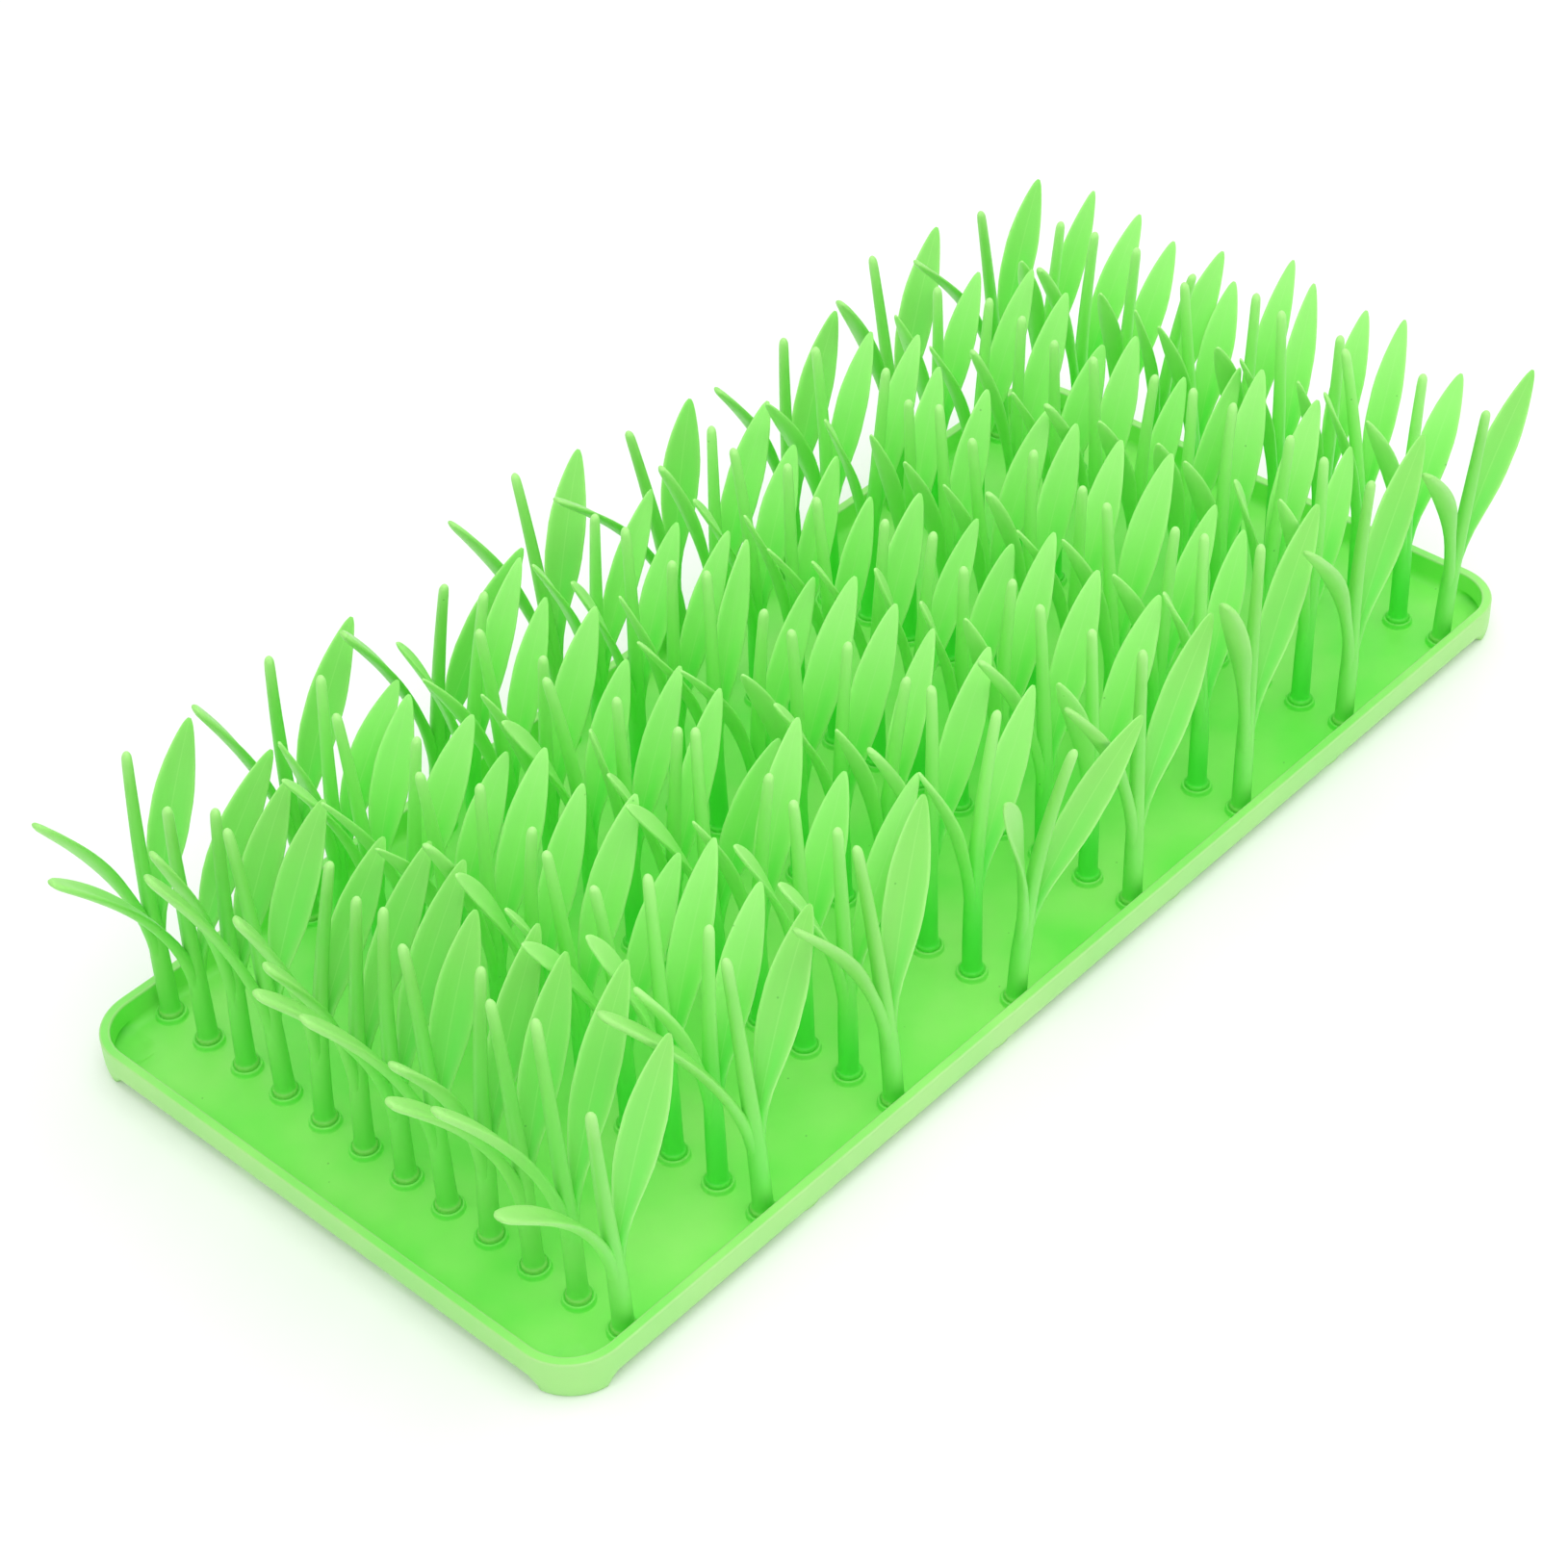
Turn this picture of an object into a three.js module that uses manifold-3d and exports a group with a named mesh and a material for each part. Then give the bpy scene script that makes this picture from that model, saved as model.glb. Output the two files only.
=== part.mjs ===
// Slow feeder mat: a shallow moulded silicone tray, and rows of three-bladed grass tufts that stand in
// its floor. Millimetres, +Z up, the length along X. The feet stand on Z = 0.
import * as THREE from 'three';
import { mergeVertices } from 'three/addons/utils/BufferGeometryUtils.js';
import Module from 'manifold-3d';

const wasm = await Module();
wasm.setup();

// Tray: outer size, wall, floor, and the rounding under its outer edge
const LENGTH = 421;
const WIDTH = 195;
const CORNER_RADIUS = 17;
const CORNER_STEPS = 5;
const WALL = 3.1;
const WALL_DRAFT = 0.3;
const RIM_EDGE = 0.8;
const FLOOR = 2.2;
const DEPTH = 8.8;
const UNDER_RADIUS = 4.5;

// Feet: low round pads in a grid under the floor
const FOOT_HEIGHT = 2;
const FOOT_RADIUS = 10;
const FOOT_TAPER = 0.8;
const FOOT_SIDES = 8;
const FEET_X = { count: 6, span: 392 };
const FEET_Y = { count: 4, span: 168 };

// Grass: eight rows of twelve tufts, each row with its roots in one strip let into the floor
const ROWS = 8;
const TUFTS = 12;
const ROW_PITCH = 52.5;
const TUFT_PITCH = 16.2;
const CLEARANCE = 0.3;
const STRIP_WIDTH = 10;
const STRIP_THICKNESS = 1;
const COLLAR_RADIUS = 4.2;
const COLLAR_HEIGHT = 1.2;
const COLLAR_SIDES = 6;

// Tuft, in heights above the floor: a stem that narrows into a straight stalk, and forks into two blades
const STEM_HALF = 2.6;
const FORK_LOW = 21;
const FORK_HIGH = 32;
const FORK_HALF = 2.1;
const STALK_TOP = 91.5;
const STALK_HALF = 1.25;
const LEAN_HEIGHT = 92;
const LEAN_POWER = 1.6;
const LEAF = {
  heading: 1,
  reach: 32,
  side: 5,
  top: 84.5,
  power: 1.6,
  crossing: 0.9,
  sections: [
    { along: 0.24, width: 6.4, thickness: 2.2, twist: 25 },
    { along: 0.55, width: 12.4, thickness: 1.8, twist: 45 },
    { along: 0.82, width: 8.6, thickness: 1.5, twist: 45 },
  ],
};
const ARCH = {
  heading: -1,
  reach: 38.5,
  side: -5,
  top: 95,
  power: 2,
  crossing: 0.82,
  sections: [
    { along: 0.3, width: 3.8, thickness: 3, twist: 0 },
    { along: 0.6, width: 7.6, thickness: 2.2, twist: 0 },
    { along: 0.85, width: 6.4, thickness: 1.8, twist: 0 },
  ],
};

// How the tufts on the free sides stand: turn about the stem in degrees, lean along X and Y for each
// unit of height, and the reach of the arching blade and of the leaf against the common ones
const FRONT_ROW = [
  { turn: 7, leanX: 0.05, leanY: 0.05, arch: 0.98, leaf: 0.91 },
  { turn: -3, leanX: -0.02, leanY: -0.06, arch: 1.08, leaf: 1.2 },
  { turn: -2, leanX: 0.06, leanY: -0.01, arch: 0.69, leaf: 0.84 },
  { turn: -7, leanX: 0.03, leanY: 0.07, arch: 0.76, leaf: 0.94 },
  { turn: -4, leanX: 0.12, leanY: -0.06, arch: 0.86, leaf: 0.74 },
  { turn: 0, leanX: 0.07, leanY: -0.05, arch: 0.93, leaf: 0.97 },
  { turn: -3, leanX: 0.07, leanY: 0.04, arch: 1.11, leaf: 1.0 },
  { turn: -2, leanX: 0.02, leanY: 0.06, arch: 0.98, leaf: 0.85 },
  { turn: 6, leanX: 0.1, leanY: -0.01, arch: 1.1, leaf: 0.85 },
  { turn: 4, leanX: 0.02, leanY: 0.06, arch: 1.13, leaf: 0.97 },
  { turn: 1, leanX: 0.06, leanY: 0.09, arch: 1.11, leaf: 1.04 },
  { turn: 6, leanX: -0.11, leanY: -0.07, arch: 1.04, leaf: 1.13 },
];
const LEFT_SIDE = [
  { turn: -3, leanX: 0.03, leanY: 0.04, arch: 0.79, leaf: 1.04 },
  { turn: -4, leanX: 0.04, leanY: -0.1, arch: 0.9, leaf: 1.08 },
  { turn: 3, leanX: 0.02, leanY: 0.15, arch: 0.8, leaf: 0.97 },
  { turn: 9, leanX: -0.15, leanY: 0.03, arch: 1.04, leaf: 1.07 },
  { turn: 4, leanX: 0.01, leanY: 0.02, arch: 0.96, leaf: 1.02 },
  { turn: -1, leanX: 0.03, leanY: 0.12, arch: 0.89, leaf: 1.06 },
  { turn: 3, leanX: -0.09, leanY: 0.02, arch: 1.08, leaf: 1.19 },
];
const RIGHT_SIDE = [
  { turn: -7, leanX: -0.03, leanY: 0.06, arch: 1.0, leaf: 1.0 },
  { turn: 2, leanX: -0.05, leanY: 0.07, arch: 0.92, leaf: 1.02 },
  { turn: -8, leanX: 0.08, leanY: -0.13, arch: 0.76, leaf: 1.02 },
  { turn: -3, leanX: 0.02, leanY: 0.0, arch: 0.98, leaf: 1.06 },
  { turn: -2, leanX: 0.08, leanY: 0.05, arch: 0.89, leaf: 1.06 },
  { turn: 4, leanX: 0.0, leanY: -0.03, arch: 1.15, leaf: 1.19 },
  { turn: 2, leanX: -0.02, leanY: -0.09, arch: 1.13, leaf: 1.12 },
];

// Spread of the tufts inside the field, each drawn from its own even sequence
const INNER_MEAN = { turn: 0, leanX: 0.02, leanY: 0.01, arch: 0.82, leaf: 0.9 };
const INNER_SPREAD = { turn: 3, leanX: 0.035, leanY: 0.02, arch: 0.08, leaf: 0.06 };
const INNER_STEP = { turn: 0.618, leanX: 0.755, leanY: 0.57, arch: 0.414, leaf: 0.732 };

// Room across the mat that an arching blade keeps from the leaves of the row in front, where it crosses
const CROSSING_ROOM = 7.2;

// Finish: one pale green, satin silicone throughout
const SILICONE = { color: 0x7ce85c, roughness: 0.45, metalness: 0 };

const FLOOR_TOP = FOOT_HEIGHT + FLOOR;
const RIM_TOP = FLOOR_TOP + DEPTH;
const STRIP_HALF_LENGTH = ((TUFTS - 1) / 2) * TUFT_PITCH + COLLAR_RADIUS;

function toSolid(geometry) {
  const bare = geometry.clone();
  bare.deleteAttribute('normal');
  bare.deleteAttribute('uv');
  const merged = mergeVertices(bare, 1e-4);
  return new wasm.Manifold(new wasm.Mesh({
    numProp: 3,
    vertProperties: new Float32Array(merged.attributes.position.array),
    triVerts: new Uint32Array(merged.index.array),
  }));
}

function toMesh(solid, name) {
  const { vertProperties, triVerts } = solid.getMesh();
  const geometry = new THREE.BufferGeometry();
  geometry.setAttribute('position', new THREE.BufferAttribute(vertProperties, 3));
  geometry.setIndex(new THREE.BufferAttribute(triVerts, 1));
  geometry.computeVertexNormals();
  const mesh = new THREE.Mesh(geometry, new THREE.MeshStandardMaterial({ name, ...SILICONE }));
  mesh.name = name;
  return mesh;
}

// A closed skin over loops of equal point count, with a flat cap on the first and the last loop
function loft(loops) {
  const size = loops[0].length;
  const index = [];
  for (let level = 0; level + 1 < loops.length; level += 1) {
    for (let k = 0; k < size; k += 1) {
      const next = (k + 1) % size;
      const [a, b] = [level * size + k, level * size + next];
      index.push(a, b, b + size, a, b + size, a + size);
    }
  }
  const caps = [[0, true], [loops.length - 1, false]];
  for (const [level, facesDown] of caps) {
    const flat = loops[level].map((p) => new THREE.Vector2(p.x, p.y));
    for (const [a, b, c] of THREE.ShapeUtils.triangulateShape(flat, [])) {
      const corner = facesDown ? [a, c, b] : [a, b, c];
      index.push(...corner.map((k) => level * size + k));
    }
  }
  const geometry = new THREE.BufferGeometry().setFromPoints(loops.flat());
  return geometry.setIndex(index);
}

// The tray's rounded rectangle, drawn in by an inset, at one height
function trayLoop(inset, z) {
  const radius = CORNER_RADIUS - inset;
  const loop = [];
  for (let corner = 0; corner < 4; corner += 1) {
    const [sx, sy] = [[1, 1], [-1, 1], [-1, -1], [1, -1]][corner];
    for (let step = 0; step <= CORNER_STEPS; step += 1) {
      const angle = (corner + step / CORNER_STEPS) * (Math.PI / 2);
      loop.push(new THREE.Vector3(
        sx * (LENGTH / 2 - CORNER_RADIUS) + radius * Math.cos(angle),
        sy * (WIDTH / 2 - CORNER_RADIUS) + radius * Math.sin(angle),
        z,
      ));
    }
  }
  return loop;
}

const evenly = ({ count, span }) => Array.from({ length: count }, (_, k) => (k / (count - 1) - 0.5) * span);
const rowX = (row) => (row - (ROWS - 1) / 2) * ROW_PITCH;
const tuftY = (tuft) => ((TUFTS - 1) / 2 - tuft) * TUFT_PITCH;

function makeTray() {
  const rounding = (degrees) => {
    const angle = THREE.MathUtils.degToRad(degrees);
    const inset = UNDER_RADIUS * (1 - Math.sin(angle));
    return trayLoop(inset, FOOT_HEIGHT + UNDER_RADIUS * (1 - Math.cos(angle)));
  };
  let tray = toSolid(loft([
    rounding(0),
    rounding(45),
    rounding(90),
    trayLoop(0, RIM_TOP - RIM_EDGE),
    trayLoop(RIM_EDGE, RIM_TOP),
    trayLoop(WALL - RIM_EDGE, RIM_TOP),
    trayLoop(WALL, RIM_TOP - RIM_EDGE),
    trayLoop(WALL + WALL_DRAFT, FLOOR_TOP),
  ]));
  for (let row = 0; row < ROWS; row += 1) {
    const depth = STRIP_THICKNESS + CLEARANCE;
    const groove = new THREE.BoxGeometry(
      STRIP_WIDTH + 2 * CLEARANCE,
      2 * (STRIP_HALF_LENGTH + CLEARANCE),
      2 * depth,
    );
    tray = tray.subtract(toSolid(groove.translate(rowX(row), 0, FLOOR_TOP)));
  }
  const rooted = FOOT_HEIGHT + FLOOR / 3;
  for (const x of evenly(FEET_X)) {
    for (const y of evenly(FEET_Y)) {
      const foot = new THREE.CylinderGeometry(FOOT_RADIUS, FOOT_RADIUS - FOOT_TAPER, rooted, FOOT_SIDES);
      tray = tray.add(toSolid(foot.rotateX(Math.PI / 2).translate(x, y, rooted / 2)));
    }
  }
  return toMesh(tray, 'tray');
}

// How one tuft stands: from the tables on the free sides, from the even sequences inside the field
function drawnStance(row, tuft) {
  if (row === 0) return FRONT_ROW[tuft];
  if (tuft === 0) return LEFT_SIDE[row - 1];
  if (tuft === TUFTS - 1) return RIGHT_SIDE[row - 1];
  const number = row * TUFTS + tuft;
  const drawn = {};
  for (const key of Object.keys(INNER_MEAN)) {
    drawn[key] = INNER_MEAN[key] + INNER_SPREAD[key] * (2 * ((number * INNER_STEP[key]) % 1) - 1);
  }
  return drawn;
}

// The middle line of a blade: out of the fork and up, bending outwards with a power of the way along
function bladePoint(blade, reach, along) {
  const root = (FORK_LOW + FORK_HIGH) / 2;
  const bend = along ** blade.power;
  return new THREE.Vector3(
    blade.heading * (FORK_HALF + (blade.reach * reach - FORK_HALF) * bend),
    blade.side * bend,
    root + (blade.top - root) * along,
  );
}

// How far a unit of lean carries a point at a height: hardly at the stem, fully at the tips
const leanAt = (z) => LEAN_HEIGHT * (Math.max(z, 0) / LEAN_HEIGHT) ** LEAN_POWER;

// Where a blade lies across the mat, at the part of it that crosses the next row
function crossingY(blade, reach, { turn, leanY }, tuft) {
  const p = bladePoint(blade, reach, blade.crossing);
  const angle = THREE.MathUtils.degToRad(turn);
  return tuftY(tuft) + p.x * Math.sin(angle) + p.y * Math.cos(angle) + leanY * leanAt(p.z);
}

// The drawn stance, with the arching blade swung clear of the two leaves that it passes between
function stance(row, tuft) {
  const stand = drawnStance(row, tuft);
  if (row === 0) return { ...stand, swing: 0 };
  const natural = crossingY(ARCH, stand.arch, stand, tuft);
  let [low, high] = [-WIDTH, WIDTH];
  for (let k = 0; k < TUFTS; k += 1) {
    const ahead = drawnStance(row - 1, k);
    const y = crossingY(LEAF, ahead.leaf, ahead, k);
    if (y > natural) high = Math.min(high, y);
    else low = Math.max(low, y);
  }
  const room = Math.min(CROSSING_ROOM, (high - low) / 2);
  const wanted = THREE.MathUtils.clamp(natural, low + room, high - room);
  const out = -bladePoint(ARCH, stand.arch, ARCH.crossing).x;
  return { ...stand, swing: THREE.MathUtils.radToDeg(Math.asin((natural - wanted) / out)) };
}

// The loops of a blade, four points each, and its tip
function bladeLoops(blade, reach) {
  const across = new THREE.Vector3(0, blade.heading, 0);
  const step = 0.01;
  return blade.sections.map(({ along, width, thickness, twist }) => {
    const middle = bladePoint(blade, reach, along);
    const tangent = bladePoint(blade, reach, along + step).sub(middle).normalize();
    const turned = across.clone().applyAxisAngle(tangent, THREE.MathUtils.degToRad(twist));
    const face = tangent.clone().cross(turned).normalize();
    const wide = face.clone().cross(tangent).multiplyScalar(width / 2);
    const thick = face.multiplyScalar(thickness / 2);
    return [[-1, -1], [1, -1], [1, 1], [-1, 1]].map(([w, t]) => middle.clone()
      .addScaledVector(wide, w).addScaledVector(thick, t));
  });
}

// One closed skin: stem and stalk are a four-sided taper, and each blade grows out of a face of the fork
function makeTuft(row, tuft) {
  const stand = stance(row, tuft);
  const points = [];
  const index = [];
  const addLoop = (loop) => loop.map((p) => points.push(p) - 1);
  const quad = (a, b, c, d) => index.push(a, b, c, a, c, d);
  const square = (half, z) => [[1, 1], [-1, 1], [-1, -1], [1, -1]]
    .map(([x, y]) => new THREE.Vector3(x * half, y * half, z));
  const bridge = (low, high, skipped = []) => low.forEach((_, k) => {
    const next = (k + 1) % 4;
    if (!skipped.includes(k)) quad(low[k], low[next], high[next], high[k]);
  });

  const stem = [
    square(STEM_HALF, -STRIP_THICKNESS / 2),
    square(STEM_HALF, FORK_LOW),
    square(FORK_HALF, FORK_HIGH),
    square(STALK_HALF, STALK_TOP),
  ].map(addLoop);
  const [archSide, leafSide] = [1, 3];
  bridge(stem[0], stem[1]);
  bridge(stem[1], stem[2], [archSide, leafSide]);
  bridge(stem[2], stem[3]);
  quad(...stem[0].toReversed());
  quad(...stem[3]);

  const upright = new THREE.Vector3(0, 0, 1);
  const swung = (p, degrees) => p.applyAxisAngle(upright, THREE.MathUtils.degToRad(degrees));
  for (const [blade, reach, swing, side] of [
    [ARCH, stand.arch, stand.swing, archSide],
    [LEAF, stand.leaf, 0, leafSide],
  ]) {
    const next = (side + 1) % 4;
    let loop = [stem[1][side], stem[1][next], stem[2][next], stem[2][side]];
    for (const section of bladeLoops(blade, reach)) {
      const outer = addLoop(section.map((p) => swung(p, swing)));
      bridge(loop, outer);
      loop = outer;
    }
    const tip = points.push(swung(bladePoint(blade, reach, 1), swing)) - 1;
    loop.forEach((corner, k) => index.push(corner, loop[(k + 1) % 4], tip));
  }

  for (const p of points) {
    swung(p, stand.turn);
    p.x += rowX(row) + stand.leanX * leanAt(p.z);
    p.y += tuftY(tuft) + stand.leanY * leanAt(p.z);
    p.z += FLOOR_TOP;
  }
  return new THREE.BufferGeometry().setFromPoints(points).setIndex(index);
}

function makeRow(row) {
  const strip = new THREE.BoxGeometry(STRIP_WIDTH, 2 * STRIP_HALF_LENGTH, STRIP_THICKNESS);
  let solid = toSolid(strip.translate(rowX(row), 0, FLOOR_TOP - STRIP_THICKNESS / 2));
  const rooted = COLLAR_HEIGHT + STRIP_THICKNESS / 2;
  for (let tuft = 0; tuft < TUFTS; tuft += 1) {
    const collar = new THREE.CylinderGeometry(COLLAR_RADIUS, COLLAR_RADIUS, rooted, COLLAR_SIDES);
    collar.rotateX(Math.PI / 2);
    collar.translate(rowX(row), tuftY(tuft), FLOOR_TOP + COLLAR_HEIGHT - rooted / 2);
    solid = solid.add(toSolid(collar)).add(toSolid(makeTuft(row, tuft)));
  }
  return toMesh(solid, `row_${row + 1}`);
}

const mat = new THREE.Group();
mat.add(makeTray());
for (let row = 0; row < ROWS; row += 1) {
  mat.add(makeRow(row));
}

// The origin lies under the middle of the whole mat, with its overhanging blades
const box = new THREE.Box3().setFromObject(mat);
mat.position.x = -(box.min.x + box.max.x) / 2;
mat.position.y = -(box.min.y + box.max.y) / 2;

export default mat;
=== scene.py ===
"""Slow feeder mat: a shallow moulded silicone tray full of upright three-bladed grass tufts."""

import bpy
import numpy as np
from mathutils import Matrix, Vector


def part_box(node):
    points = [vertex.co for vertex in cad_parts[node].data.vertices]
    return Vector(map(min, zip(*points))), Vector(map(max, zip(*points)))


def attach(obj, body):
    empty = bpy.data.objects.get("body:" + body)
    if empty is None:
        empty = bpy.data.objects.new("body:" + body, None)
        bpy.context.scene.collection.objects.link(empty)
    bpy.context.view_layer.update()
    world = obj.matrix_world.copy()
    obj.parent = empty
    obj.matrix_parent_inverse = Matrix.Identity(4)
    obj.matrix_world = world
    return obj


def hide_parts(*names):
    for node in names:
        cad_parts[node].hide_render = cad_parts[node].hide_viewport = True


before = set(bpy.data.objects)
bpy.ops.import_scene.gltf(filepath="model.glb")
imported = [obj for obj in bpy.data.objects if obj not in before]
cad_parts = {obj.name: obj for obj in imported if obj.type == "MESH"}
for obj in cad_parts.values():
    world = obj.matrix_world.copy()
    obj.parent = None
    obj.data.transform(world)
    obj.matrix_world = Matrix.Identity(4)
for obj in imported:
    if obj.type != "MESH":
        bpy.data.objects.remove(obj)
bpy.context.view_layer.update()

MM = 0.001
rng = np.random.default_rng(11)

# Tray sizes in millimetres, heights from the surface that the mat stands on
LENGTH, WIDTH, CORNER_RADIUS = 421.0, 195.0, 17.0
WALL, WALL_DRAFT, FOOT_HEIGHT, FLOOR_TOP, RIM_TOP = 3.1, 0.3, 2.0, 4.2, 13.0
UNDER_ROUND, RIM_OUTER_ROUND, RIM_INNER_ROUND, FLOOR_FILLET = 4.5, 0.45, 0.5, 2.6
FLOOR_MIDDLE = 95.0
FEET_X, FEET_Y = np.linspace(-197.4, 197.4, 6), np.linspace(-85.2, 85.2, 4)

# Grass: rows along X, tufts along Y, heights from the tray's floor
ROWS, TUFTS, ROW_PITCH, TUFT_PITCH = 8, 12, 52.5, 16.2
ROOT_HEIGHT, FORK_HALF = 26.5, 2.1
STALK_FREE, STALK_TOP = 25.0, 92.0
LEAN_HEIGHT, LEAN_POWER = 92.0, 1.6
CROSSING_ROOM = 7.2
LEAF = {"heading": 1, "reach": 32.0, "side": 5.0, "top": 84.5, "power": 1.6, "crossing": 0.9,
        "grown": (18.0, 1.68)}
ARCH = {"heading": -1, "reach": 38.5, "side": -5.0, "top": 95.0, "power": 2.0, "crossing": 0.82,
        "grown": (14.0, 1.9)}

# How the tufts on the free sides stand: turn in degrees, lean along X and Y, reach of the arching blade
# and of the leaf against the common ones
STAND = ("turn", "lean_x", "lean_y", "arch", "leaf")
FRONT_ROW = [
    (7, 0.05, 0.05, 0.98, 0.91), (-3, -0.02, -0.06, 1.08, 1.2), (-2, 0.06, -0.01, 0.69, 0.84),
    (-7, 0.03, 0.07, 0.76, 0.94), (-4, 0.12, -0.06, 0.86, 0.74), (0, 0.07, -0.05, 0.93, 0.97),
    (-3, 0.07, 0.04, 1.11, 1.0), (-2, 0.02, 0.06, 0.98, 0.85), (6, 0.1, -0.01, 1.1, 0.85),
    (4, 0.02, 0.06, 1.13, 0.97), (1, 0.06, 0.09, 1.11, 1.04), (6, -0.11, -0.07, 1.04, 1.13),
]
LEFT_SIDE = [
    (-3, 0.03, 0.04, 0.79, 1.04), (-4, 0.04, -0.1, 0.9, 1.08), (3, 0.02, 0.15, 0.8, 0.97),
    (9, -0.15, 0.03, 1.04, 1.07), (4, 0.01, 0.02, 0.96, 1.02), (-1, 0.03, 0.12, 0.89, 1.06),
    (3, -0.09, 0.02, 1.08, 1.19),
]
RIGHT_SIDE = [
    (-7, -0.03, 0.06, 1.0, 1.0), (2, -0.05, 0.07, 0.92, 1.02), (-8, 0.08, -0.13, 0.76, 1.02),
    (-3, 0.02, 0.0, 0.98, 1.06), (-2, 0.08, 0.05, 0.89, 1.06), (4, 0.0, -0.03, 1.15, 1.19),
    (2, -0.02, -0.09, 1.13, 1.12),
]

# How far the tufts of the back row lean along Y, in millimetres, and the twist in degrees of an arching blade
# that shows its face, by row and tuft
BACK_LEAN = [0, -6, -1, -6, -4, 0, -3, 3, 0, 6, 4, 0]
FLAT_ARCH = {(3, TUFTS - 1): -75.0}

# How the inner tufts stand, as an even sequence of the same values
INNER_MEAN = np.array([0, 0.02, 0.01, 0.82, 0.9])
INNER_SPREAD = np.array([3, 0.035, 0.02, 0.08, 0.06])
INNER_STEP = np.array([0.618, 0.755, 0.57, 0.414, 0.732])

# Chance changes to an inner tuft, the least and the most: a leaf's twist, drop, narrowing and swing, and an arching
# blade's twist, drop and added reach; and the most that a stalk bows and leans
LEAF_LEAST, LEAF_MOST = [-30, -5, 0.0, -7], [14, 12, 0.2, 7]
ARCH_LEAST, ARCH_MOST = [-55, 0, -0.25], [15, 6, 0.05]
STALK_BOW, STALK_LEAN = 0.8, 6

# Inner tufts with little room between their neighbours' blades, the part of the changes that calm tufts take, and
# the breadth of the arching blades of these inner ones
CALM_TUFTS = {(1, 5), (1, 10), (3, 9), (4, 1), (4, 9), (5, 6), (6, 3), (6, 5), (7, 2)}
CALM_PART, CALM_BREADTH = 0.25, 0.75

# Points around, and rings along a blade
STALK_MESH, LEAF_MESH, ARCH_MESH = (14, 30), (20, 22), (16, 22)
COLLAR_AROUND, FOOT_AROUND = 24, 32

# How strongly the veins, and the painted highlight along the midrib, show on a leaf and on an arching blade
LEAF_VEINS, ARCH_VEINS = 1.0, 0.2

# Painted shade on a tuft, by how light it is: inside the field by its height over a number of millimetres, on the
# free sides from a start and more slowly; the lip of a stem above its collar lightened as a painted highlight; and
# a deeper band of painted shade along a leaf
INNER_LIGHT_HEIGHT, FREE_LIGHT_START, FREE_LIGHT_HEIGHT = 76, 0.52, 260
LIP_LIGHT, LIP_TOP, LIP_FADE = 0.35, 3.3, 0.6
SHADE_BAND_DEPTH, BAND_PLACE, BAND_WIDTH = 0.17, -0.35, 0.4

# Rounded profiles, each as (radius, height) in millimetres; the painted highlight that makes the collar's crest
# paler, and the painted shade that deepens its green on its walls and in its groove
COLLAR_PROFILE = [(5.2, -0.4), (4.8, 0.0), (4.62, 0.25), (4.56, 0.8), (4.5, 1.3), (4.38, 1.65), (4.15, 1.8),
                  (3.92, 1.68), (3.75, 1.45), (3.0, 1.35)]
COLLAR_HIGHLIGHT = np.array([0, 0, 0, 0, 0, 0.05, 0.1, 0.05, 0, 0])[:, None]
COLLAR_PAINTED_SHADE = np.array([0, 0.1, 0.3, 0.45, 0.4, 0.3, 0.25, 0.35, 0.5, 0.5])[:, None]
FOOT_PROFILE = [(0.2, 0.0), (8.9, 0.0), (9.5, 0.15), (9.8, 0.5), (10.0, 2.6), (9.0, 3.0)]

# Shapes by the way along a blade: width, thickness, twist in degrees, cup of the edges and the power of its fold,
# depth of the channel in the upper face and height of the ridge along the middle
LEAF_SHAPE = {
    "along": [0, 0.12, 0.22, 0.32, 0.42, 0.52, 0.61, 0.72, 0.82, 0.9, 0.955, 0.985, 1],
    "width": [3.6, 3.7, 3.8, 4.8, 7.2, 9.8, 11.3, 11.3, 9.5, 6.8, 4.3, 2.5, 0.9],
    "thick": [3.6, 3.6, 3.2, 2.6, 2.1, 1.8, 1.6, 1.5, 1.4, 1.3, 1.2, 1.0, 0.4],
    "twist": [0, 2, 12, 24, 34, 41, 45, 46, 46, 46, 46, 46, 46],
    "cup": [0, 0, 0.1, 0.5, 1.0, 1.4, 1.5, 1.4, 1.1, 0.7, 0.4, 0.15, 0],
    "fold": [1.2] * 13,
    "channel": [0, 0, 0, 0, 0, 0, 0, 0, 0, 0, 0, 0, 0],
    "ridge": [0, 0, 0.05, 0.12, 0.2, 0.25, 0.25, 0.22, 0.2, 0.15, 0.1, 0.05, 0],
}
ARCH_SHAPE = {
    "along": [0, 0.12, 0.25, 0.38, 0.48, 0.58, 0.68, 0.78, 0.87, 0.94, 0.98, 1],
    "width": [4.4, 4.0, 3.6, 3.7, 4.7, 6.5, 8.1, 8.7, 8.2, 6.9, 5.4, 2.9],
    "thick": [4.4, 4.0, 3.5, 3.2, 3.1, 3.0, 2.9, 2.8, 2.7, 2.6, 2.3, 1.4],
    "twist": [0, 0, 0, 0, 0, 0, 0, 0, 0, 0, 0, 0],
    "cup": [0, 0, 0, 0.1, 0.4, 0.7, 0.9, 0.9, 0.7, 0.4, 0.15, 0],
    "fold": [2.0] * 12,
    "channel": [0, 0, 0, 0.2, 0.6, 0.9, 1.05, 1.0, 0.8, 0.5, 0.2, 0],
    "ridge": [0, 0, 0, 0, 0, 0, 0, 0, 0, 0, 0, 0],
}
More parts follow.
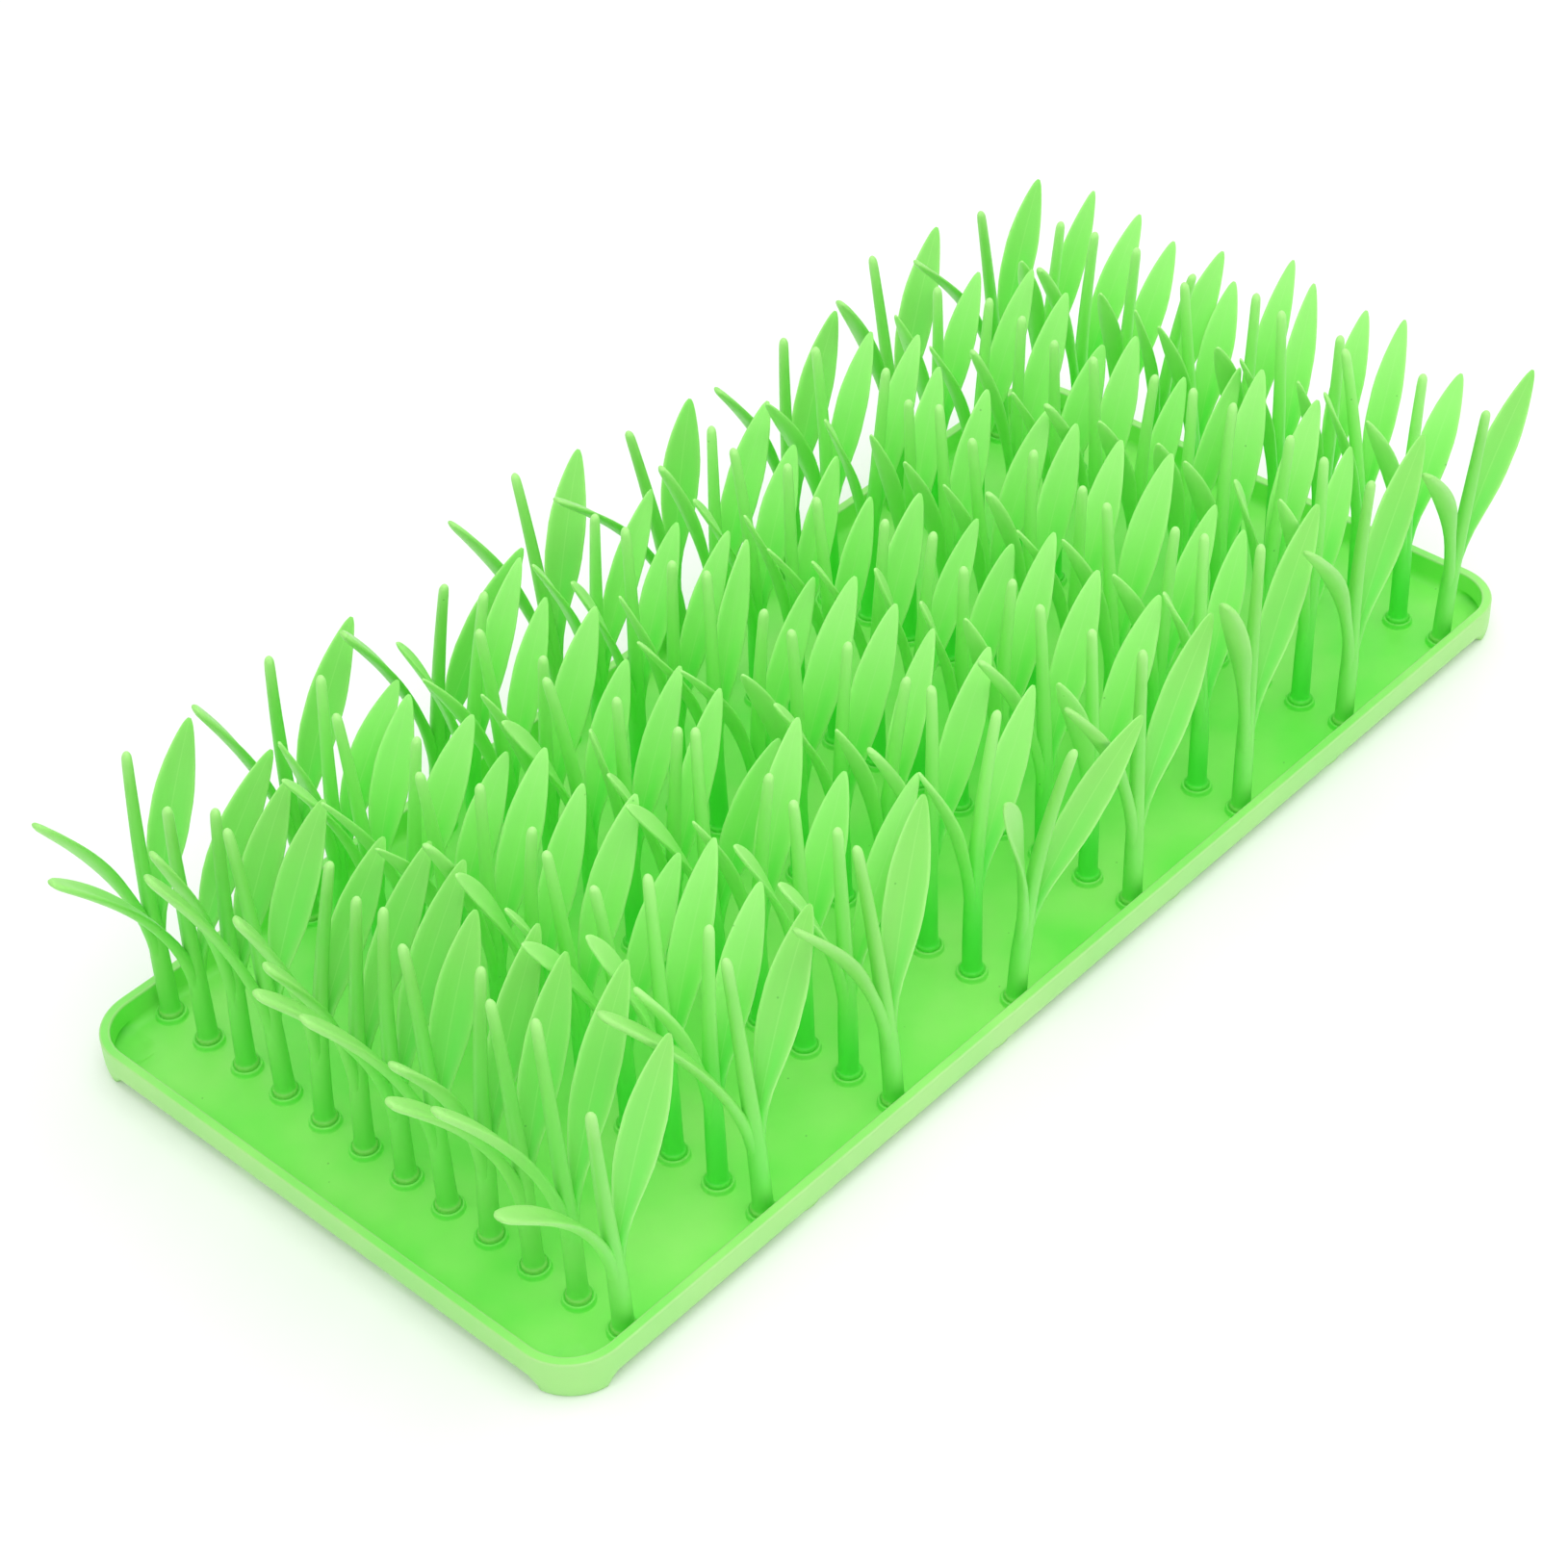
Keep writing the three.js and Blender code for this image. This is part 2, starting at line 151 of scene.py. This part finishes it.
BROAD_ARCH_SHAPE = {
    **ARCH_SHAPE,
    "width": [4.4, 4.0, 3.8, 4.6, 6.2, 8.0, 9.1, 9.0, 7.4, 4.9, 2.9, 1.0],
    "thick": [4.4, 4.0, 3.4, 2.9, 2.6, 2.3, 2.1, 2.0, 1.8, 1.6, 1.3, 0.7],
    "channel": [0, 0, 0, 0.1, 0.3, 0.5, 0.6, 0.6, 0.5, 0.3, 0.1, 0],
}
STALK_SHAPE = {
    "height": [-0.6, 1.8, 2.2, 2.5, 2.75, 3.1, 3.9, 7, 14, 21,
               26, 31, 38, 50, 65, 80, 89, 90.4, 91.3, 91.8],
    "radius": [3.4, 3.5, 3.52, 3.46, 3.3, 3.05, 2.93, 2.87, 2.82, 2.76,
               2.65, 2.5, 2.35, 2.15, 1.9, 1.65, 1.5, 1.32, 0.9, 0.25],
}

tray_low, tray_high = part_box("tray")
MIDDLE = np.array([(tray_low[0] + tray_high[0]) / 2, (tray_low[1] + tray_high[1]) / 2, 0.0])


def smooth(x, xs, ys):
    """Monotone cubic through the points (xs, ys), with slopes that are zero at turns."""
    xs, ys = np.asarray(xs, float), np.asarray(ys, float)
    h, d = np.diff(xs), np.diff(ys) / np.diff(xs)
    total = d[:-1] + d[1:]
    inner = np.where(d[:-1] * d[1:] > 0, 2 * d[:-1] * d[1:] / np.where(total == 0, 1, total), 0)
    slope = np.concatenate([[d[0]], inner, [d[-1]]])
    k = np.clip(np.searchsorted(xs, x, side="right") - 1, 0, len(h) - 1)
    t = (x - xs[k]) / h[k]
    return ((1 + 2 * t) * (1 - t) ** 2 * ys[k] + t * (1 - t) ** 2 * h[k] * slope[k]
            + t * t * (3 - 2 * t) * ys[k + 1] + t * t * (t - 1) * h[k] * slope[k + 1])


def wave(x, y):
    """Uneven floor of the soft tray: three crossed sines, a few tenths of a millimetre high, none at the rim
    and none along the very middle."""
    inward = np.minimum(LENGTH / 2 - np.abs(x), WIDTH / 2 - np.abs(y))
    fade = np.clip((inward - 8) / 25, 0, 1) * np.clip((FLOOR_MIDDLE - inward) / 15, 0, 1)
    ripple = (0.16 * np.sin(x / 19 + 0.6) * np.cos(y / 27) + 0.14 * np.sin(x / 41 - y / 33)
              + 0.1 * np.cos(y / 13 + x / 60))
    return fade * ripple


def tube_faces(rings, around):
    """Quads between rings of points, one ring after another, and the points of a cap on each end."""
    start = np.arange(rings - 1)[:, None] * around
    k = np.arange(around)
    after = (k + 1) % around
    quads = np.stack([start + k, start + after, start + around + after, start + around + k], -1)
    return quads.reshape(-1, 4), np.stack([k[::-1], k + (rings - 1) * around])


def lathe(profile, around):
    """Rings (rings, around, 3) of a profile of (radius, height) turned about Z."""
    angle = np.arange(around) * (2 * np.pi / around)
    radius, height = np.array(profile).T
    ring = np.stack([np.cos(angle), np.sin(angle)], -1)
    level = np.broadcast_to(height[:, None, None], (len(height), around, 1))
    return np.concatenate([radius[:, None, None] * ring, level], -1)


def tray_loop(inset, long_steps=42, short_steps=18, corner_steps=15):
    """Points round the tray's rounded rectangle, drawn in by an inset, anticlockwise seen from above."""
    radius = max(CORNER_RADIUS - inset, 1.0)
    hx, hy = LENGTH / 2 - inset - radius, WIDTH / 2 - inset - radius
    points = []
    for corner, (sx, sy) in enumerate([(1, 1), (-1, 1), (-1, -1), (1, -1)]):
        angle = (corner + np.linspace(0, 1, corner_steps)) * (np.pi / 2)
        points.append(np.stack([sx * hx + radius * np.cos(angle), sy * hy + radius * np.sin(angle)], -1))
        steps = long_steps if corner % 2 == 0 else short_steps
        way = np.linspace(0, 1, steps + 1)[1:-1, None]
        first = points[-1][-1]
        last = first * [-1, 1] if corner % 2 == 0 else first * [1, -1]
        points.append(first + (last - first) * way)
    return np.concatenate(points)


def corner_share(loop):
    """1 on the round of each corner, 0 on the straight sides, with a short ramp between them."""
    out = np.abs(loop) - [LENGTH / 2 - CORNER_RADIUS, WIDTH / 2 - CORNER_RADIUS]
    angle = np.degrees(np.arctan2(np.maximum(out[:, 1], 0), np.maximum(out[:, 0], 1e-9)))
    ramp = np.clip((45 - np.abs(angle - 45)) / 14, 0, 1)
    return ramp * ramp * (3 - 2 * ramp)


def tray_rings():
    """Rings over the tray: the underside from the middle out, round the wall and the rim, and the floor back in.
    Returns the rings and how pale each is, painted highlights along the rim's rounded edges and a painted
    reflection of the bright surroundings on the wall and the underside."""
    turn = np.radians(np.linspace(0, 90, 6))
    rise, fall = 1 - np.cos(turn), 1 - np.sin(turn)
    wall_low = FOOT_HEIGHT + UNDER_ROUND
    under = zip(UNDER_ROUND * fall, FOOT_HEIGHT + UNDER_ROUND * rise)
    outer = zip(RIM_OUTER_ROUND * rise, RIM_TOP - RIM_OUTER_ROUND * fall)
    inner = zip(WALL - RIM_INNER_ROUND * fall, RIM_TOP - RIM_INNER_ROUND * rise)
    fillet = zip(WALL + WALL_DRAFT + FLOOR_FILLET * rise, FLOOR_TOP + FLOOR_FILLET * fall)
    # The second value of each stage is painted light: highlights on the rim's rounded edges and reflection of the
    # bright surroundings on the outer wall, the rim's top and the underside; the inner wall and the floor have none
    stages = [
        ([(inset, FOOT_HEIGHT) for inset in (FLOOR_MIDDLE, 30, 13, 12.2, 11.4)], 0.2),
        (under, 0.55),
        ([(0, FOOT_HEIGHT + 4.7), (0, FOOT_HEIGHT + 5), (0, RIM_TOP - 0.8), (0, RIM_TOP - 0.6)], 0.55),
        (outer, 0.7),
        ([(0.6, RIM_TOP), (0.8, RIM_TOP), (WALL - 0.9, RIM_TOP), (WALL - 0.65, RIM_TOP)], 0.2),
        (inner, 0.6),
        ([(WALL + 0.03, RIM_TOP - 0.7), (WALL + 0.06, RIM_TOP - 1), (WALL + 0.28, FLOOR_TOP + 2.8)], 0.0),
        (fillet, 0.0),
        ([(inset, FLOOR_TOP) for inset in np.linspace(7, FLOOR_MIDDLE, 44)], 0.0),
    ]
    rings, painted_sheen = [], []
    for profile, pale in stages:
        for inset, height in profile:
            foot = corner_share(tray_loop(inset))
            if height < wall_low and inset < 12:
                corner = tray_loop(0.3 * inset if inset < 5 else inset)
                loop = tray_loop(inset) * (1 - foot[:, None]) + corner * foot[:, None]
                lift = -foot * (wall_low - height) * FOOT_HEIGHT / UNDER_ROUND
            else:
                loop = tray_loop(inset)
                lift = wave(loop[:, 0], loop[:, 1]) if inset > 6 and height == FLOOR_TOP else 0
            rings.append(np.concatenate([loop, np.broadcast_to(height + lift, len(loop))[:, None]], -1))
            painted_sheen.append(pale)
    return np.array(rings), np.array(painted_sheen)[:, None]


def row_x(row):
    """Place of a row along the mat."""
    return (row - (ROWS - 1) / 2) * ROW_PITCH


def tuft_y(tuft):
    """Place of a tuft along its row, counted from the left side."""
    return ((TUFTS - 1) / 2 - tuft) * TUFT_PITCH


def drawn_stance(row, tuft):
    """The values of STAND for one tuft: a table's on the free sides, an even sequence's inside the field."""
    if row == 0:
        return np.array(FRONT_ROW[tuft])
    if tuft == 0:
        return np.array(LEFT_SIDE[row - 1])
    if tuft == TUFTS - 1:
        return np.array(RIGHT_SIDE[row - 1])
    return INNER_MEAN + INNER_SPREAD * (2 * ((row * TUFTS + tuft) * INNER_STEP % 1) - 1)


def lean_at(z):
    """How far a unit of lean carries a point at a height: a power of the height."""
    return LEAN_HEIGHT * (np.maximum(z, 0) / LEAN_HEIGHT) ** LEAN_POWER


def blade_line(blade, reach, along):
    """Middle line of a plain blade: up from the fork, out along X and Y with a power of the way along."""
    bend = along ** blade["power"]
    return np.stack([blade["heading"] * (FORK_HALF + (blade["reach"] * reach - FORK_HALF) * bend),
                     blade["side"] * bend, ROOT_HEIGHT + (blade["top"] - ROOT_HEIGHT) * along], -1)


def grown_line(blade, reach, along, drop):
    """Middle line of a blade that grows out of the stem's axis to the plain line's tip, or to a lower one."""
    start, power = blade["grown"]
    bend = np.maximum(along, 0) ** power
    return np.stack([blade["heading"] * blade["reach"] * reach * bend, blade["side"] * bend,
                     start + (blade["top"] - drop - start) * along], -1)


def crossing_y(blade, reach, stand, tuft):
    """Where a blade lies across the mat, at the part of it that crosses the next row."""
    x, y, z = blade_line(blade, reach, np.float64(blade["crossing"]))
    angle = np.radians(stand[0])
    return tuft_y(tuft) + x * np.sin(angle) + y * np.cos(angle) + stand[2] * lean_at(z)


def arch_swing(row, tuft):
    """Angle that carries an arching blade clear of the two leaves of the row in front that it passes between."""
    if row == 0:
        return 0.0
    stand = drawn_stance(row, tuft)
    natural = crossing_y(ARCH, stand[3], stand, tuft)
    ahead = [drawn_stance(row - 1, k) for k in range(TUFTS)]
    leaves = np.array([crossing_y(LEAF, ahead[k][4], ahead[k], k) for k in range(TUFTS)])
    high = min(leaves[leaves > natural], default=WIDTH)
    low = max(leaves[leaves <= natural], default=-WIDTH)
    room = min(CROSSING_ROOM, (high - low) / 2)
    wanted = np.clip(natural, low + room, high - room)
    return np.arcsin((natural - wanted) / -blade_line(ARCH, stand[3], np.float64(ARCH["crossing"]))[0])


def turned(points, angle):
    """Points turned about Z."""
    c, s = np.cos(angle), np.sin(angle)
    return points @ np.array([[c, s, 0], [-s, c, 0], [0, 0, 1]])


def blade_rings(blade, shape, reach, around, rings, extra_twist, drop=0.0, breadth=1.0):
    """Rings of a blade: an oval section swept along the middle line, with its edges cupped, a channel along its
    upper face and a ridge along its middle. Returns the rings and the place across, from -1 to 1."""
    along = np.sin(np.linspace(0, np.pi / 2, rings)) ** 0.85
    middle = grown_line(blade, reach, along, drop)
    step = 1e-3
    tangent = grown_line(blade, reach, along + step, drop) - grown_line(blade, reach, along - step, drop)
    tangent /= np.linalg.norm(tangent, axis=-1, keepdims=True)
    value = {key: smooth(along, shape["along"], shape[key])[:, None] for key in shape if key != "along"}
    side = np.array([0, blade["heading"], 0]) - tangent * (blade["heading"] * tangent[:, 1:2])
    side /= np.linalg.norm(side, axis=-1, keepdims=True)
    face = np.cross(tangent, side)
    twist = np.radians(value["twist"] + extra_twist * along[:, None])
    side, face = np.cos(twist) * side + np.sin(twist) * face, np.cos(twist) * face - np.sin(twist) * side
    angle = np.arange(around) * (2 * np.pi / around)
    across, rise = np.cos(angle)[None, :], np.sin(angle)[None, :]
    up = (value["thick"] / 2 * rise + value["cup"] * (np.abs(across) ** value["fold"] - 0.45)
          - value["channel"] * np.maximum(rise, 0) * (1 - across ** 2) ** 2
          + value["ridge"] * rise * np.exp(-(across / 0.16) ** 2))
    wide = breadth * value["width"] / 2 * across
    points = middle[:, None] + wide[..., None] * side[:, None] + up[..., None] * face[:, None]
    return points, np.broadcast_to(across, up.shape), np.broadcast_to(along[:, None], up.shape)


def stalk_rings(around, rings, bow, lean):
    """Rings of the stem and the stalk: circles of a radius that falls with height, the stalk bowed and leaning
    a little from the fork up, by the given millimetres along X and Y."""
    height = smooth(np.linspace(0, 1, rings), np.linspace(0, 1, len(STALK_SHAPE["height"])), STALK_SHAPE["height"])
    radius = smooth(height, STALK_SHAPE["height"], STALK_SHAPE["radius"])
    angle = np.arange(around) * (2 * np.pi / around)
    way = np.clip((height - STALK_FREE) / (STALK_TOP - STALK_FREE), 0, 1)[:, None]
    sag = 4 * way * (1 - way)
    x = radius[:, None] * np.cos(angle) + bow[0] * sag + lean[0] * way ** 1.4
    y = radius[:, None] * np.sin(angle) + bow[1] * sag + lean[1] * way ** 1.4
    return np.stack([x, y, np.broadcast_to(height[:, None], x.shape)], -1)


class Skin:
    """Collects rings of points as one mesh. Each point has its place across and along a blade, how strongly veins
    show, how pale it is with painted highlights and reflections, how light it is with painted shade, and whether it
    stands on a free side of the field."""

    def __init__(self):
        self.points, self.quads, self.caps, self.marks, self.count = [], [], [], [], 0

    def add(self, rings, across=0.0, along=0.0, kind=0.0, pale=0.0, shade=0.0, free=0.0):
        """Adds a closed tube of rings with its marks."""
        quads, caps = tube_faces(*rings.shape[:2])
        marks = [np.broadcast_to(v, rings.shape[:2]).ravel() for v in (across, along, kind, pale, shade, free)]
        self.quads.append(quads + self.count)
        self.caps += (caps + self.count).tolist()
        self.points.append(rings.reshape(-1, 3))
        self.marks.append(np.stack(marks, -1))
        self.count += len(self.points[-1])

    def piece(self, name, node, slot, material):
        """The mesh as an object that rides on the mat in place of a plain node."""
        mesh = bpy.data.meshes.new(name)
        points = np.concatenate(self.points) * MM + MIDDLE
        mesh.from_pydata(points.tolist(), [], np.concatenate(self.quads).tolist() + self.caps)
        marks = np.concatenate(self.marks)
        for key, values in zip(("across", "along", "blade", "pale", "shade", "free"), marks.T):
            attribute = mesh.attributes.new(key, "FLOAT", "POINT")
            attribute.data.foreach_set("value", np.ascontiguousarray(values, np.float32))
        corner = np.empty(len(mesh.loops), np.int32)
        mesh.loops.foreach_get("vertex_index", corner)
        uv = mesh.uv_layers.new(name="blade_uv")
        uv.data.foreach_set("uv", (marks[corner, :2] * [0.5, 1] + [0.5, 0]).astype(np.float32).ravel())
        mesh.polygons.foreach_set("use_smooth", np.ones(len(mesh.polygons), bool))
        mesh.materials.append(material)
        mesh.validate()
        piece = bpy.data.objects.new(name, mesh)
        bpy.context.scene.collection.objects.link(piece)
        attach(piece, "root")
        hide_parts(node)


def silicone(name, light, deep, pale, veins):
    """Satin moulded silicone: broad cloudy colour, painted shade that deepens the green at the roots and on the
    collars, a painted glow inside the grass field, painted highlights and reflections that make edges, tips and the
    tray's rim, wall and feet paler, tiny specks, a fine skin and, on the grass, veins."""
    material = bpy.data.materials.new(name)
    material.use_nodes = True
    nodes, links = material.node_tree.nodes, material.node_tree.links
    shader = nodes["Principled BSDF"]
    shader.subsurface_method = "BURLEY"
    shader.inputs["IOR"].default_value = 1.42
    shader.inputs["Subsurface Weight"].default_value = 0.2
    shader.inputs["Subsurface Radius"].default_value = (0.5, 1.0, 0.35)
    shader.inputs["Subsurface Scale"].default_value = 0.0015

    def node(kind, **values):
        """A new node with some of its settings."""
        made = nodes.new(kind)
        for key, value in values.items():
            setattr(made, key, value)
        return made

    def noise(scale, detail):
        """Noise from 0 to 1 on the piece's own coordinates."""
        made = node("ShaderNodeTexNoise")
        made.inputs["Scale"].default_value = scale
        made.inputs["Detail"].default_value = detail
        links.new(coords.outputs["Object"], made.inputs["Vector"])
        return made.outputs["Fac"]

    def spread(source, from_low, from_high, to_low, to_high):
        """A value carried from one range to another, and held at its ends."""
        made = node("ShaderNodeMapRange")
        limits = {"From Min": from_low, "From Max": from_high, "To Min": to_low, "To Max": to_high}
        for key, value in limits.items():
            made.inputs[key].default_value = value
        links.new(source, made.inputs["Value"])
        return made.outputs["Result"]

    def mixed(factor, first, second):
        """A blend of two colours, each a fixed one or a socket."""
        made = node("ShaderNodeMix", data_type="RGBA")
        links.new(factor, made.inputs["Factor"])
        for socket, colour in ((made.inputs["A"], first), (made.inputs["B"], second)):
            if isinstance(colour, tuple):
                socket.default_value = (*colour, 1)
            else:
                links.new(colour, socket)
        return made.outputs["Result"]

    def sums(operation, first, second):
        """One step of arithmetic on numbers or sockets."""
        made = node("ShaderNodeMath", operation=operation)
        for socket, value in zip(made.inputs, (first, second)):
            if isinstance(value, (int, float)):
                socket.default_value = value
            else:
                links.new(value, socket)
        return made.outputs["Value"]

    coords = node("ShaderNodeTexCoord")
    cloud = noise(22, 3)
    if veins:
        # Painted shade and light on the grass: deep green painted shade at the roots, a painted glow inside the
        # field and paler painted light at the tips; the free sides take a duller lit green
        shade = node("ShaderNodeAttribute", attribute_name="shade").outputs["Fac"]
        shade = sums("ADD", shade, spread(cloud, 0.3, 0.7, -0.1, 0.1))
        free = node("ShaderNodeAttribute", attribute_name="free").outputs["Fac"]
        inside = mixed(spread(shade, 0.15, 0.7, 0, 1), deep, INNER_GLOW_GREEN)
        inside = mixed(spread(shade, 0.5, 1.1, 0, 0.45), inside, pale)
        outside = mixed(spread(shade, 0.2, 0.85, 0, 1), deep, light)
        colour = mixed(free, inside, outside)
    else:
        colour = mixed(spread(cloud, 0.35, 0.65, 0, 1), light, deep)
        # Painted shade on the collars: the shade attribute deepens their walls and groove towards the root shade
        # green
        collar = node("ShaderNodeAttribute", attribute_name="shade").outputs["Fac"]
        colour = mixed(collar, colour, ROOT_SHADE_GREEN)
    # Painted highlights: the pale attribute, and on the grass a pale line along the midrib, mix towards the pale
    # colour
    painted_highlight = node("ShaderNodeAttribute", attribute_name="pale").outputs["Fac"]
    if veins:
        across = node("ShaderNodeAttribute", attribute_name="across").outputs["Fac"]
        blade = node("ShaderNodeAttribute", attribute_name="blade").outputs["Fac"]
        midrib_highlight = sums("MULTIPLY", spread(sums("ABSOLUTE", across, 0.0), 0.01, 0.05, 0.2, 0), blade)
        painted_highlight = sums("MAXIMUM", painted_highlight, midrib_highlight)
    colour = mixed(painted_highlight, colour, pale)
    speck = node("ShaderNodeTexVoronoi")
    speck.inputs["Scale"].default_value = 95
    links.new(coords.outputs["Object"], speck.inputs["Vector"])
    dots = spread(speck.outputs["Distance"], 0.02, 0.035, 0.45, 0)
    colour = mixed(dots, colour, tuple(0.45 * v for v in deep))
    links.new(colour, shader.inputs["Base Color"])
    links.new(spread(noise(120, 4), 0.3, 0.7, 0.36, 0.48), shader.inputs["Roughness"])
    relief = spread(noise(900, 2), 0, 1, 0, 0.25)
    if veins:
        ribs = sums("SINE", sums("MULTIPLY", across, 20.0), 0.0)
        relief = sums("ADD", relief, sums("MULTIPLY", ribs, sums("MULTIPLY", blade, 0.12)))
    bump = node("ShaderNodeBump")
    bump.inputs["Strength"].default_value = 0.25
    bump.inputs["Distance"].default_value = 0.0002
    links.new(relief, bump.inputs["Height"])
    links.new(bump.outputs["Normal"], shader.inputs["Normal"])
    return material


# Camera at the place that the photograph was taken from
FORWARD = np.array([0.54746, 0.52804, -0.64919])
RIGHT = np.array([0.67094, -0.7406, -0.03659])
DOWN = np.array([-0.50012, -0.41554, -0.75974])
STATION = np.array([-557.29, -515.07, 661.31 + FLOOR_TOP + 0.6])
lens = bpy.data.cameras.new("camera")
lens.lens, lens.sensor_width = 77.57, 36.0
camera = bpy.data.objects.new("camera", lens)
axes = np.stack([RIGHT, -DOWN, -FORWARD], -1)
camera.matrix_world = Matrix.Translation(STATION * MM + MIDDLE) @ Matrix(axes.tolist()).to_4x4()
bpy.context.scene.collection.objects.link(camera)
bpy.context.scene.camera = camera

# Silicone of the tray and of the grass. The root green is painted shade, deepest at the grass's roots and on the
# tray's collars. The inner green is a painted glow of light through the blades inside the field
ROOT_SHADE_GREEN, INNER_GLOW_GREEN = (0.092, 0.83, 0.07), (0.245, 0.86, 0.13)
TRAY_SILICONE = silicone("tray_silicone", (0.35, 0.9, 0.185), (0.19, 0.86, 0.1), (0.48, 0.74, 0.32), veins=False)
GRASS_SILICONE = silicone("grass_silicone", (0.262, 0.74, 0.135), ROOT_SHADE_GREEN, (0.5, 0.92, 0.31), veins=True)

# Tray with its collars and feet
tray = Skin()
rings, painted_sheen = tray_rings()
tray.add(rings, pale=painted_sheen)
# The feet are paler with a painted glow of the white floor's light shining through them
for x in FEET_X:
    for y in FEET_Y:
        if abs(x) < FEET_X[-1] or abs(y) < FEET_Y[-1]:
            tray.add(lathe(FOOT_PROFILE, FOOT_AROUND) + [x, y, 0], pale=0.6)
for row in range(ROWS):
    for tuft in range(TUFTS):
        foot = np.array([row_x(row), tuft_y(tuft), FLOOR_TOP + wave(row_x(row), tuft_y(tuft))])
        tray.add(lathe(COLLAR_PROFILE, COLLAR_AROUND) + foot, pale=COLLAR_HIGHLIGHT, shade=COLLAR_PAINTED_SHADE)
tray.piece("feeder_tray", "tray", "tray_silicone", TRAY_SILICONE)

# Rows of grass
for row in range(ROWS):
    grass = Skin()
    for tuft in range(TUFTS):
        stand = dict(zip(STAND, drawn_stance(row, tuft)))
        inner = row > 0 and 0 < tuft < TUFTS - 1
        foot = np.array([row_x(row), tuft_y(tuft), FLOOR_TOP + wave(row_x(row), tuft_y(tuft))])
        more_lean = BACK_LEAN[tuft] / LEAN_HEIGHT if row == ROWS - 1 else 0.0

        def settle(points):
            """Points of the tuft turned, leaned and set on its foot."""
            points = turned(points, np.radians(stand["turn"]))
            lean = lean_at(points[..., 2:])
            return points + foot + lean * [stand["lean_x"], stand["lean_y"] + more_lean, 0]

        def shade(points):
            """Painted shade on the tuft at each point: deepest green low down where shade falls, lighter with
            height, and less deep on a free side.
            """
            if inner:
                return points[..., 2] / INNER_LIGHT_HEIGHT
            return FREE_LIGHT_START + points[..., 2] / FREE_LIGHT_HEIGHT

        calm = not inner or (row, tuft) in CALM_TUFTS
        loose, free = CALM_PART if calm else 1.0, 0.0 if inner else 1.0

        # Stem and stalk, with a painted highlight that lightens the lip above the collar and makes the tip paler
        bow, lean = rng.uniform(-1, 1, 2) * STALK_BOW, rng.uniform(-1, 1, 2) * STALK_LEAN * loose
        stalk = stalk_rings(*STALK_MESH, bow, lean)
        height = stalk[..., 2] / STALK_TOP
        lip = LIP_LIGHT * np.clip((LIP_TOP - stalk[..., 2]) / LIP_FADE, 0, 1)
        tip = 0.7 * np.clip((height - 0.85) / 0.15, 0, 1) ** 2
        grass.add(settle(stalk), along=height, pale=tip, shade=shade(stalk) + lip, free=free)

        # Leaf, with a painted highlight on its pale edges and a deeper band of painted shade beside its middle
        twist, drop, narrowing, swing = loose * rng.uniform(LEAF_LEAST, LEAF_MOST)
        leaf, across, along = blade_rings(LEAF, LEAF_SHAPE, stand["leaf"], *LEAF_MESH, twist, drop, 1 - narrowing)
        leaf = turned(leaf, np.radians(swing))
        shade_band = SHADE_BAND_DEPTH * np.exp(-((across - BAND_PLACE) / BAND_WIDTH) ** 2) * np.clip((0.85 - along) / 0.4, 0, 1)
        edge = 0.8 * np.abs(across) ** 10 * (along > 0.3)
        grass.add(settle(leaf), across, along, LEAF_VEINS, edge, shade(leaf) - shade_band, free)

        # Arching blade, with a painted highlight that makes it paler towards its tip
        twist, drop, more = loose * rng.uniform(ARCH_LEAST, ARCH_MOST)
        twist = FLAT_ARCH.get((row, tuft), twist)
        shape = BROAD_ARCH_SHAPE if not calm or (row, tuft) in FLAT_ARCH else ARCH_SHAPE
        breadth = CALM_BREADTH if (row, tuft) in CALM_TUFTS else 1.0
        arch, across, along = blade_rings(ARCH, shape, stand["arch"] + more, *ARCH_MESH, twist, drop, breadth)
        arch = turned(arch, arch_swing(row, tuft))
        tip = 0.4 * np.clip((along - 0.6) / 0.4, 0, 1)
        grass.add(settle(arch), across, along, ARCH_VEINS, tip, shade(arch), free)
    grass.piece(f"grass_row_{row + 1}", f"row_{row + 1}", "grass_silicone", GRASS_SILICONE)

# Pale floor and soft light
paint = bpy.data.materials.new("studio_floor")
paint.use_nodes = True
surface = paint.node_tree.nodes["Principled BSDF"].inputs
surface["Base Color"].default_value = (0.93, 0.93, 0.93, 1)
surface["Roughness"].default_value = 0.9
surface["Emission Color"].default_value = (1, 1, 1, 1)
surface["Emission Strength"].default_value = 0.05
ground = bpy.data.meshes.new("studio_floor")
ground.from_pydata([(-6, -6, 0), (6, -6, 0), (6, 6, 0), (-6, 6, 0)], [], [(0, 1, 2, 3)])
ground.materials.append(paint)
floor = bpy.data.objects.new("studio_floor", ground)
bpy.context.scene.collection.objects.link(floor)

world = bpy.data.worlds.new("studio")
world.use_nodes = True
sky = world.node_tree.nodes["Background"].inputs
sky["Color"].default_value = (1, 1, 1, 1)
sky["Strength"].default_value = 0.86
bpy.context.scene.world = world
bpy.context.scene.view_settings.view_transform = "Standard"

for name, place, size, power in [
    ("overhead", (0.05, -0.3, 1.5), 1.4, 9.5),
    ("front_fill", (-1.0, -0.8, 1.2), 1.2, 1.2),
]:
    lamp = bpy.data.lights.new(name, "AREA")
    lamp.energy, lamp.size = power, size
    light = bpy.data.objects.new(name, lamp)
    light.location = place
    light.rotation_euler = Vector(place).to_track_quat("Z", "Y").to_euler()
    bpy.context.scene.collection.objects.link(light)
